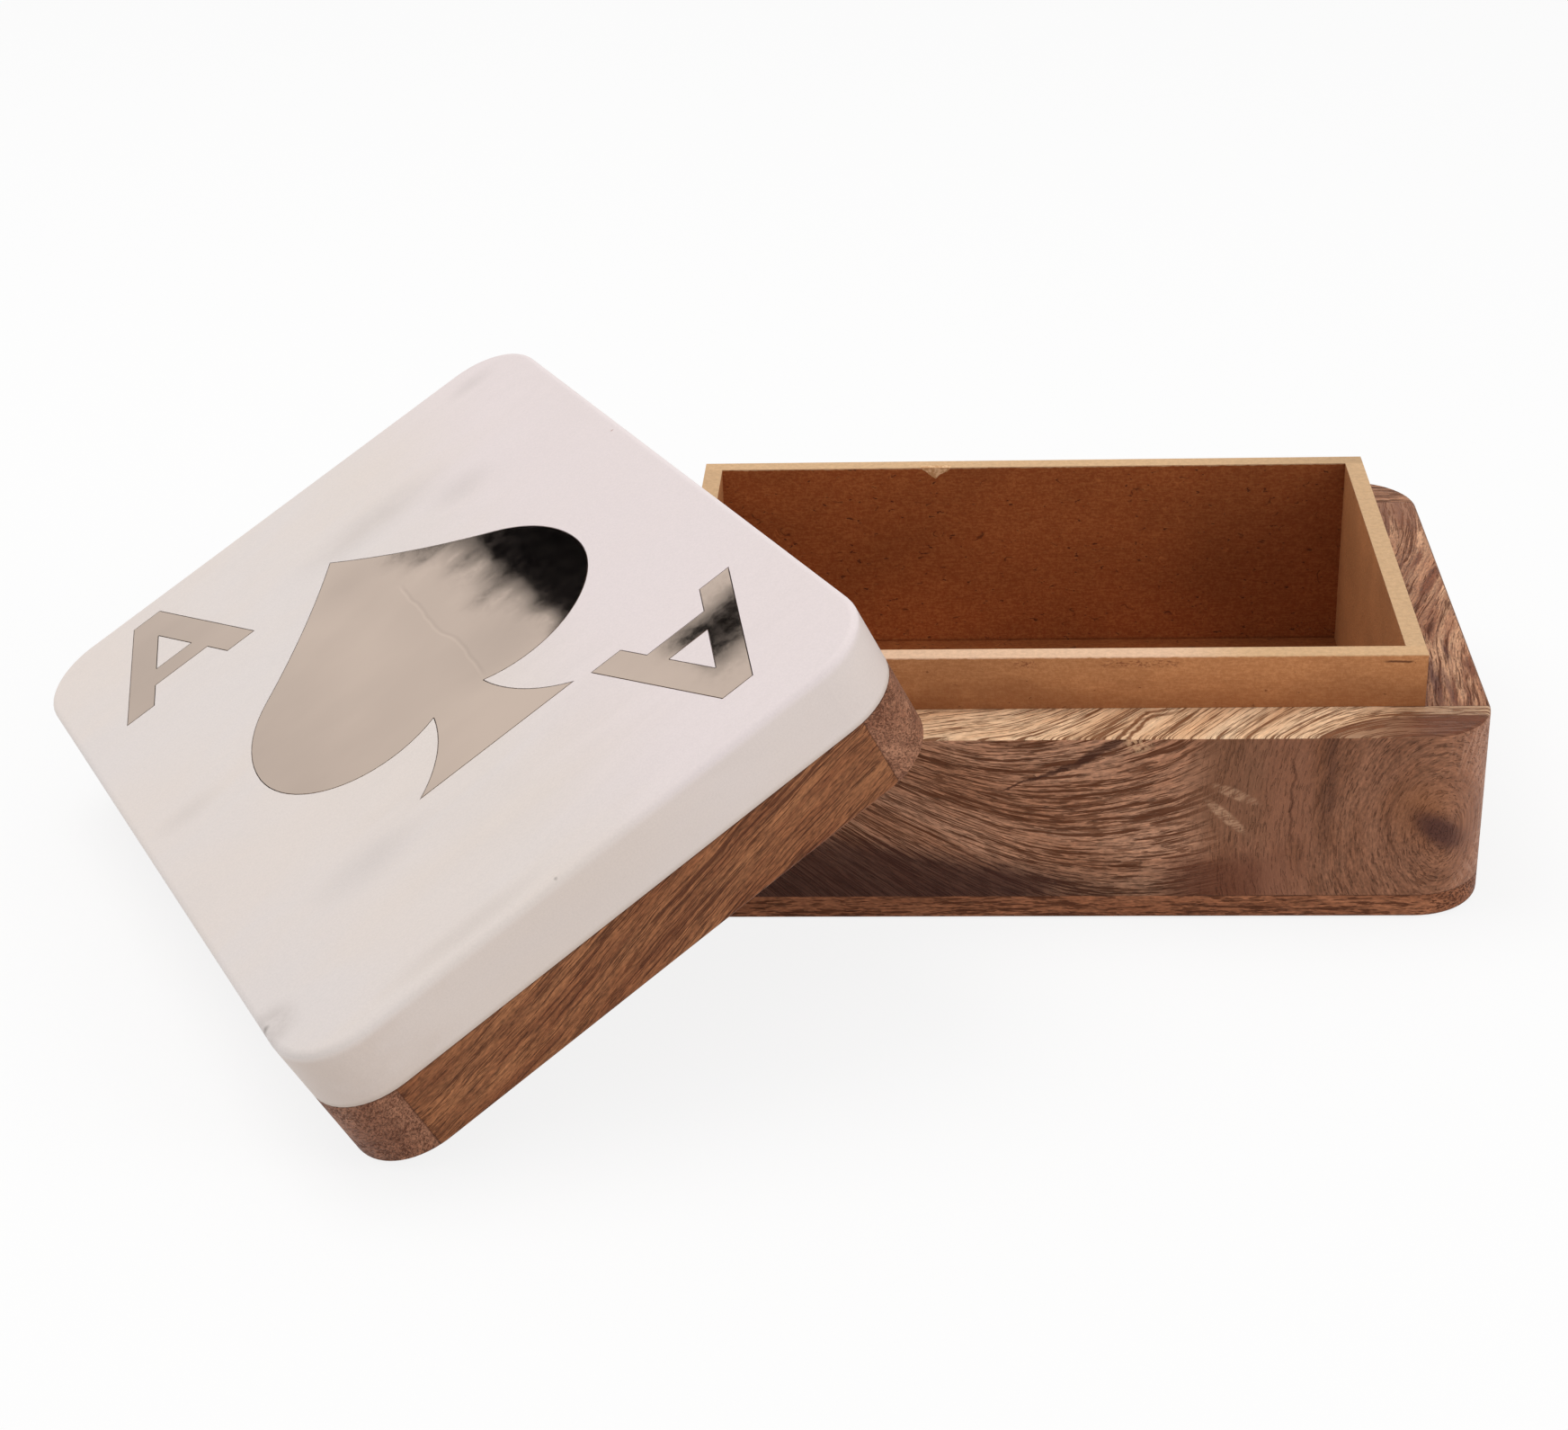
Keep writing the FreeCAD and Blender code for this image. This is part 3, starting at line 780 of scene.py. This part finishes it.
# The top edges are paler where they were sawn and sanded, the front board's most of all.
def paintSawnEdge(colour, place):
    s = fibreBoards
    x, y, z = split(place)
    ragged = timesPlus(noise(place, 0.7, 3), 0.5, z)
    sawn = rise(ragged, boxSize["linerTop"] - 0.12, boxSize["linerTop"] + 0.16)
    frontBoard = calc("LESS_THAN", y, boxSize["linerFront"] + 3.6)
    frontEdge = mixColour(rise(x, 20, 42), s["frontEdge"], s["frontEdgeRight"])
    pale = mixColour(frontBoard, s["edge"], frontEdge)
    pale = tint(pale, rise(noise(place, 0.9, 4, 0.7), 0.3, 0.7, 0.9, 1.08))
    return mixColour(sawn, colour, pale)


# Painted shade and light: the floor darker and the back wall's foot lighter, so that they meet without a
# line, and darker to the right as the light falls off in the box; with the chip: a notch whose depth falls
# away from its middle.
def paintInside(colour, place):
    s = fibreBoards["inner"]
    x, y, z = split(place)
    middle, half, deep = s["chip"]
    # foot: painted shade on the floor and painted light low on the back wall; then painted shade towards
    # the right
    foot = times(rise(z, 7.9, 8.6, 0.66, 1), rise(z, 8.6, 30, 1.27, 1.05))
    colour = tint(tint(colour, foot), rise(x, 20, 78, 1.04, 0.8))
    rough = noise(place, 0.9, 3, 0.7)
    away = gap(x, middle)
    notch = timesPlus(away, -deep / half, minus(z, boxSize["linerTop"] - deep))
    notch = rise(timesPlus(rough, 1.6, minus(notch, 0.8)), 0, 0.25)
    onBack = near(y, boxSize["compartment"], 1.6, 2.6)
    chip = mixColour(rise(rough, 0.42, 0.58), s["chipPale"], s["chipDark"])
    return paint(colour, (notch, chip), onBack, fall(away, half, half + 0.4))


# The split, the torn places, and painted shade: darker and redder low on the strip that shows, with painted
# light above it.
def paintOutside(colour, place):
    s = fibreBoards["outer"]
    x, y, z = split(place)
    front = calc("LESS_THAN", y, -boxSize["compartment"])
    start, end, height = s["split"]
    wander = timesPlus(noise(place, (0.4, 0, 0)), 0.8, z)
    crack = near(wander, height, 0.1, 0.3)
    crack = times(crack, between(x, start, start + 2, end, end + 1))
    colour = paint(colour, s["splitCoat"], crack, front)
    marks = rise(noise(place, (0.9, 0, 2.4), 3, 0.7), 0.5, 0.58)
    marks = times(marks, near(z, s["tornHeight"], 0.4, 1.1), front)
    for middle, half in s["torn"]:
        colour = paint(colour, s["tornCoat"], marks, near(x, middle, half * 0.5, half))
    # painted shade low on the front strip, and painted light higher up on it
    patch = noise(place, (0.11, 0.11, 0.3), 3, 0.6, (2, 0, 9))
    low, high = boxSize["rimTop"] + 5, boxSize["linerTop"] + 5
    lowShaded = fall(timesPlus(patch, 12, z), low, high)
    onFace = calc("LESS_THAN", y, boxSize["linerFront"] + 0.1)
    colour = tint(colour, mixValue(onFace, 1, rise(lowShaded, 0, 1, 1.1, 0.96)))
    return paint(colour, s["stain"], lowShaded, onFace)


def makeFibreboard(name, inLid=False):
    s = fibreBoards[name]
    made, shader = newMaterial(name + "Fibreboard")
    place = placeInLid() if inLid else placeInBox()
    grain = useGroup(pressedFibre, Place=place, **s["fibres"])
    colour = grain["Colour"]
    if not inLid:
        colour = paintSawnEdge(colour, place)
        colour = (paintInside if name == "inner" else paintOutside)(colour, place)
    finishShader(shader, colour, grain["Roughness"], grain["Height"], **fibreBoards["finish"])
    return made


# Marble

marbleSlab = {
    "base": (0.75, 0.665, 0.615), "cool": (0.735, 0.67, 0.645), "grey": (0.45, 0.395, 0.37),
    "pinkCoat": (0.85, (0.8, 0.705, 0.705)), "sideBeige": (0.57, 0.455, 0.385),
    "lowCoat": (0.45, (0.4, 0.3, 0.23)),
    "slant": -24, "waves": (0.012, 0.034, 0.03),
    # veins: share, detail and width
    "veins": [(0.05, 2, 0.16), (0.03, 4, 0.06)],
    # smudges: centre across and along the slab, reach of each, share
    "smudges": [
        ((-59, -66), (7, 7), 0.6), ((-30, -45), (16, 8), 0.22),
        ((-50, 5), (10, 5), 0.18), ((12, 52), (26, 9), 0.3),
        ((48, 75), (8, 4), 0.25), ((-25, -78), (22, 4), 0.25),
        ((30, 42), (10, 7), 0.25),
    ],
    # specks: centre, radius and colour
    "specks": [
        ((58.5, 23.5), 0.5, (0.35, 0.12, 0.1)), ((-8, -82), 0.5, (0.3, 0.27, 0.25)),
        ((-60, -65.5), 1.3, (0.25, 0.22, 0.2)),
    ],
    "bump": 0.00004,
}


# Two faint vein layers, each where a slanted noise passes its middle value, with grey smudges. The
# top is pinker to the right, and the sides are warmer, most of all at the low corner.
def makeMarble():
    s = marbleSlab
    top = lidSize["top"]
    made, shader = newMaterial("honedMarble")
    place = placeInLid()
    x, y, z = split(place)
    slanted = turnPlace(place, (0, 0, math.radians(s["slant"])), s["waves"])
    cloud = noise(slanted, 1, 4, 0.55, distortion=0.6)
    colour = mixColour(rise(cloud, 0.3, 0.7), s["base"], s["cool"])
    rightward = timesPlus(cloud, 20, timesPlus(y, -0.15, x))
    onTop = rise(z, top - 2.5, top - 0.6, 0.3, 1)
    colour = paint(colour, s["pinkCoat"], rise(rightward, 10, 50), onTop)
    for share, detail, width in s["veins"]:
        field = noise(slanted, 1 + detail * 0.3, detail, 0.55, (detail, 2, 1), 1.2)
        kept = rise(noise(place, 0.02, shift=(detail, 9, 4)), 0.45, 0.65)
        colour = paint(colour, (share, s["grey"]), near(field, 0.5, 0, width), kept)
    rough = noise(place, (0.14, 0.2, 0.2), 4, 0.6)
    for centre, reach, share in s["smudges"]:
        mask = spot(place, (*centre, top), (*reach, 20))
        mask = times(mask, rise(rough, 0.35, 0.62, 0.2, share))
        colour = mixColour(calc("MINIMUM", mask, share), colour, s["grey"])
    for centre, radius, dark in s["specks"]:
        speck = spot(place, (*centre, top), (radius, radius * 0.7, 3))
        colour = paint(colour, (0.7, dark), speck)
    along = timesPlus(rough, 30, x)
    warm = minus(rise(along, -45, -15, 0.68, 0.36), rise(along, 0, 60, 0, 0.12))
    colour = paint(colour, (warm, s["sideBeige"]), fall(z, top - 2.5, top - 0.6))
    # painted shade along the slab's foot, just above the frame
    colour = paint(colour, s["lowCoat"], fall(z, lidSize["frame"], lidSize["frame"] + 1.2))
    grit = noise(place, 2.4, 3, 0.7)
    colour = tint(colour, rise(grit, 0.25, 0.75, 0.965, 1.03))
    roughness = rise(grit, 0.3, 0.7, 0.36, 0.5)
    finishShader(shader, colour, roughness, times(grit, 0.5), s["bump"])
    return made


# Inlays

inlaySteel = {
    "colour": (0.555, 0.445, 0.37), "roughness": (0.05, 0.09), "bump": 0.00008,
    # painted reflection, darker and lighter spots: centre across and along the slab, reach, brightness
    "tones": [
        ((15, -14), 17, 0.9), ((0, 38), 15, 0.9),
        ((-8, 10), 15, 1.06), ((-28, -4), 13, 0.95),
    ],
    # ridge, drawn as a painted highlight line beside a painted shade line: its place across the slab, how
    # far it wanders, its ends along the slab and its strength
    "ridge": 6.8, "wander": 5, "ridgeEnds": (-21, -16, 22, 26), "ridgeStrength": 0.07,
}


# Polished plate with faint clouds, painted reflection spots, and one hair-thin wavy ridge along it painted
# as a highlight and a shade line.
def makeSteel():
    s = inlaySteel
    made, shader = newMaterial("polishedSteel")
    place = placeInLid()
    x, y = split(place)[:2]
    cloud = noise(place, (0.03, 0.05, 0.05), 3)
    colour = tint(s["colour"], rise(cloud, 0.3, 0.7, 0.96, 1.04))
    # painted reflection: darker towards negative x, then darker and lighter spots
    colour = tint(colour, rise(x, -50, 0, 0.86, 1))
    for centre, reach, bright in s["tones"]:
        patch = spot(place, (*centre, lidSize["top"]), (reach,) * 3)
        colour = tint(colour, timesPlus(patch, bright - 1, 1))
    # the ridge: a painted highlight line with a painted shade line beside it
    wave = noise(place, (0, 0.06, 0))
    line = minus(x, timesPlus(wave, s["wander"], s["ridge"] - s["wander"] / 2))
    ridgeHighlight, shade = near(line, 0, 0, 0.5), near(line, 0.6, 0, 0.6)
    upper = times(between(y, *s["ridgeEnds"]), s["ridgeStrength"])
    colour = tint(colour, timesPlus(minus(ridgeHighlight, shade), upper, 1))
    fine = noise(place, 0.5, 4, 0.6)
    feed(shader.inputs["Metallic"], 1)
    roughness = rise(fine, 0.3, 0.7, *s["roughness"])
    finishShader(shader, colour, roughness, noise(place, 0.05), s["bump"])
    return made


# Stage: a pale floor that stays white to the camera and in reflections, and keeps the shadow

stageSettings = {
    "floorColour": (0.9, 0.9, 0.9, 1), "floorRoughness": 0.9, "floorSize": 6, "floorHeight": -0.0003,
    "shadowShare": 0.16, "worldStrength": 0.62,
}


def addObject(name, data):
    made = bpy.data.objects.new(name, data)
    scene.collection.objects.link(made)
    return made


# 1 for rays from the camera, a mirror or glass.
def whiteShare():
    path = addNode("ShaderNodeLightPath").outputs
    return greater(greater(path["Is Camera Ray"], path["Is Glossy Ray"]), path["Is Transmission Ray"])


# One square, with its corners half its size from the middle.
def makeFloor():
    s = stageSettings
    half = s["floorSize"] / 2
    mesh = bpy.data.meshes.new("floor")
    corners = [(-half, -half, 0), (half, -half, 0), (half, half, 0), (-half, half, 0)]
    mesh.from_pydata(corners, [], [(0, 1, 2, 3)])
    floor = addObject("floor", mesh)
    floor.location.z = s["floorHeight"]
    made, shader = newMaterial("floorPaper")
    feedNamed(shader, {"Base Color": s["floorColour"], "Roughness": s["floorRoughness"]})
    white = addNode("ShaderNodeEmission")
    mixShaders(times(whiteShare(), 1 - s["shadowShare"]), shader, white)
    mesh.materials.append(made)


def makeWorld():
    dim = stageSettings["worldStrength"]
    world = bpy.data.worlds.new("studio")
    scene.world = world
    world.use_nodes = True
    current["tree"] = world.node_tree
    strength = timesPlus(whiteShare(), 1 - dim, dim)
    feedNamed(findNode("BACKGROUND"), {"Color": (1, 1, 1, 1), "Strength": strength})


lamps = {
    "overhead": {"place": (-0.45, 0.1, 1.1), "size": 0.8, "power": 5, "colour": (1, 0.985, 0.965)},
    "side": {"place": (0.85, -0.45, 0.5), "size": 0.7, "power": 3.2, "colour": (1, 0.99, 0.98)},
}
lampAim = (-0.04, -0.03, 0.02)


def makeLamps():
    for name, s in lamps.items():
        data = bpy.data.lights.new(name, "AREA")
        data.shape = "DISK"
        data.size = s["size"]
        data.energy = s["power"]
        data.color = s["colour"]
        lamp = addObject(name, data)
        lamp.location = s["place"]
        aim = Vector(lampAim) - Vector(s["place"])
        lamp.rotation_euler = aim.to_track_quat("-Z", "Y").to_euler()
        lamp.visible_glossy = False


camera = {
    "imageWidth": 1744, "focalPixels": 3207.46, "pitch": 27.04582, "roll": -2.01204, "yaw": -3.6321,
    "place": (-0.0185130, -0.5317389, 0.2845065), "sensor": 36, "clipStart": 0.01,
}


def makeCamera():
    s = camera
    pitch, roll, yaw = (math.radians(s[k]) for k in ("pitch", "roll", "yaw"))
    ahead = Vector((math.sin(yaw) * math.cos(pitch), math.cos(yaw) * math.cos(pitch), -math.sin(pitch)))
    levelRight = Vector((math.cos(yaw), -math.sin(yaw), 0))
    levelUp = levelRight.cross(ahead)
    right = levelRight * math.cos(roll) + levelUp * math.sin(roll)
    up = levelUp * math.cos(roll) - levelRight * math.sin(roll)
    data = bpy.data.cameras.new("camera")
    data.sensor_fit = "HORIZONTAL"
    data.sensor_width = s["sensor"]
    data.lens = s["sensor"] * s["focalPixels"] / s["imageWidth"]
    data.clip_start = s["clipStart"]
    made = addObject("camera", data)
    made.matrix_world = Matrix.Translation(s["place"]) @ Matrix((right, up, -ahead)).transposed().to_4x4()
    scene.camera = made


# A dark screen that only the polished metal sees, as a dark corner of the room would be seen in
# it. Its plane is parallel to the slab, and its mesh carries the slab's coordinates as its UV map,
# in tenths of a metre.

screen = {
    "across": (2, 66), "along": (-80, 50), "height": 0.09, "uvPerMetre": 10,
    "colour": (0.006, 0.006, 0.007, 1), "core": 23.8, "coreEnds": (-25.5, 26),
    # length, centre along the slab and width of each finger
    "short": [(1.5, 11, 2.2), (3.2, 3.8, 1.9), (3, -11.9, 1.9), (3.8, -21.5, 1.8)],
    "long": [
        (17, 35.5, 3.4), (14, 29.5, 2.6), (8, 23.5, 2.4), (11, 16.8, 2.8), (7.5, 8, 2.2),
        (11.5, 3, 2.4), (7, -4, 2.4), (5, -10, 2.2),
    ],
}


# Each corner goes up the mirrored sight line of its point on the slab to the screen's height.
def screenCorners(onSlab):
    yaw, tilt = math.radians(lidLean["yaw"]), math.radians(lidLean["tilt"])
    turn = np.array(Matrix.Rotation(yaw, 3, "Z") @ Matrix.Rotation(-tilt, 3, "Y"))
    place = np.array(lidLean["place"])
    top = lidSize["top"] / metre
    eye = (np.array(camera["place"]) - place) @ turn
    mirrored = np.array((eye[0], eye[1], 2 * top - eye[2]))
    points = np.column_stack((onSlab, np.full(len(onSlab), top)))
    reach = 1 + screen["height"] / (top - mirrored[2])
    return (mirrored + (points - mirrored) * reach) @ turn.T + place


# How far a place is past the screen's edge, which fingers cut back: each is a bell curve along it.
def pastEdge(x, y, wobble, fingers):
    edge = plus(wobble, screen["core"])
    for length, centre, width in fingers:
        away = calc("DIVIDE", minus(y, centre), width)
        bell = calc("EXPONENT", times(away, away, -1))
        edge = minus(edge, times(bell, length))
    return minus(x, edge)


# 1 where the screen is dark: a core with short fingers, a haze with long ones, and a part over the
# letter at the foot, which is its bar and the upper half of one leg.
def screenMask():
    s = screen
    uv = addNode("ShaderNodeUVMap", uv_map="slabPlace").outputs[0]
    scale = metre / s["uvPerMetre"]
    x, y = split(stretch(uv, (scale, scale, 0)))[:2]
    ripple = noise(join(times(x, 0.09), times(y, 0.3), 2))
    wobble = timesPlus(ripple, 3, -1.5)
    low, high = s["coreEnds"]
    dark = rise(pastEdge(x, y, wobble, s["short"]), -1, 1.6)
    dark = times(dark, fall(y, high - 2.5, high + 2))
    haze = rise(pastEdge(x, y, wobble, s["long"]), -2, 6.5, 0, 0.8)
    dark = greater(dark, times(haze, fall(y, 36, 42)))
    dark = times(dark, rise(y, low - 2, low))
    leg = times(rise(x, 33.5, 36), rise(y, -64.5, -59))
    bar = times(rise(x, 30, 36, 0, 0.9), rise(y, -52, -51))
    letter = times(greater(leg, bar), fall(y, -48.3, -45.5))
    return greater(dark, letter)


def makeScreen():
    s = screen
    (low, high), (foot, head) = s["across"], s["along"]
    corners = np.array([(low, foot), (high, foot), (high, head), (low, head)]) / metre
    mesh = bpy.data.meshes.new("darkScreen")
    mesh.from_pydata(screenCorners(corners).tolist(), [], [(0, 1, 2, 3)])
    layer = mesh.uv_layers.new(name="slabPlace")
    layer.uv.foreach_set("vector", (corners * s["uvPerMetre"]).ravel())
    made = addObject("darkScreen", mesh)
    material, shader = newMaterial("darkScreen")
    feedNamed(shader, {"Base Color": s["colour"], "Specular IOR Level": 0})
    mixShaders(screenMask(), addNode("ShaderNodeBsdfTransparent"), shader)
    mesh.materials.append(material)
    for name in ("camera", "diffuse", "shadow", "transmission", "volume_scatter"):
        setattr(made, "visible_" + name, False)


makeFloor()
makeWorld()
makeLamps()
makeCamera()
makeScreen()
print("stage, lamps and camera set")

boxWoods = {name: makeBoardWood(name) for name in plainBoards}
railWoods = {name: makeRailWood(name) for name in lidRails}
outerFibre, shadedInnerFibre = makeFibreboard("outer"), makeFibreboard("inner")
finishes = {
    "base_board": boxWoods["base"], "box_front_wall": makeFrontWood(), "box_back_wall": boxWoods["back"],
    "box_left_wall": boxWoods["side"], "box_right_wall": boxWoods["side"],
    "liner_floor": shadedInnerFibre, "liner_front": outerFibre, "liner_back": shadedInnerFibre,
    "liner_left": outerFibre, "liner_right": outerFibre,
    "lid_left_rail": railWoods["side"], "lid_right_rail": railWoods["side"],
    "lid_foot_rail": railWoods["foot"], "lid_head_rail": railWoods["foot"],
    "lid_panel": makeFibreboard("outer", inLid=True), "marble_slab": makeMarble(),
}
steel = makeSteel()
finishes.update({name: steel for name in ("spade_inlay", "letter_inlay_head", "letter_inlay_foot")})
for name, material in finishes.items():
    dress(name, material)
print("finishes on", len(finishes), "pieces")

scene.view_settings.view_transform = "Standard"
